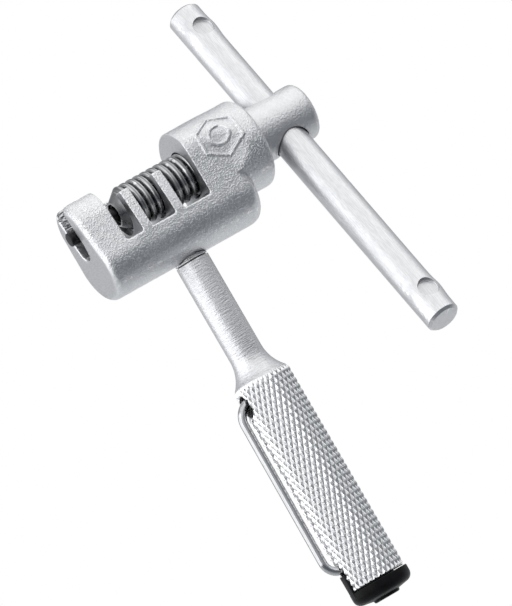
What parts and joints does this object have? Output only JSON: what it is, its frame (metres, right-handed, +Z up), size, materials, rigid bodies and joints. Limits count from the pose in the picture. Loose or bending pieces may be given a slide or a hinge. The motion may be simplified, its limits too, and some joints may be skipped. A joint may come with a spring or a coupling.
{
  "type": "chain tool",
  "caption": "Hand chain-rivet press: cast cradle with chain slots, threaded screw and driver pin, sliding tommy bar, knurled handle with stowed chain hook and end cap.",
  "frame": {"origin": "middle of the end cap's lowest face, on the handle's axis", "axes": "+Z up the handle to the cradle; +X along the driving screw towards its head, 103.4 mm above the origin; Y runs along the chain, which lies across the cradle"},
  "size_m": [0.0641, 0.051, 0.1376],
  "materials": {
    "cast_nickel": "nickel plated over a fine cast texture, satin",
    "turned_steel": "turned and plated, satin",
    "dark_steel": "plain hardened steel, machined",
    "black_oxide": "black oxide, satin",
    "bright_wire": "polished wire",
    "black_plastic": "moulded, semi-gloss"
  },
  "bodies": {
    "tool": {"tool_body": "cast_nickel", "neck_ring": "turned_steel", "handle": "turned_steel"},
    "pin_carriage": {"driver_pin": "black_oxide"},
    "screw": {"drive_screw": "dark_steel", "pin_bush": "black_oxide"},
    "bar": {"tommy_bar": "turned_steel"},
    "hook": {"chain_hook": "bright_wire"},
    "cap": {"end_cap": "black_plastic", "spare_pin": "black_oxide"}
  },
  "joints": [
    {"name": "screw_feed", "type": "slide", "parent": "tool", "child": "pin_carriage", "axis": [1, 0, 0], "range_m": [-0.00025, 0.02725]},
    {"name": "screw_turn", "type": "hinge", "parent": "pin_carriage", "child": "screw", "pos_m": [0.0339, 0, 0.1034], "axis": [1, 0, 0], "range_deg": [-45, 5400]},
    {"name": "bar_slide", "type": "slide", "parent": "screw", "child": "bar", "axis": [0, -0.4439, -0.8961], "range_m": [-0.047, 0.02]},
    {"name": "hook_pull", "type": "slide", "parent": "tool", "child": "hook", "axis": [-1, 0, 0], "range_m": [0, 0.014]},
    {"name": "cap_pull", "type": "slide", "parent": "tool", "child": "cap", "axis": [0, 0, -1], "range_m": [0, 0.034]}
  ],
  "couplings": [
    {"joint": "screw_feed", "follows": "screw_turn", "m_per_rad": 0.00028871}
  ]
}
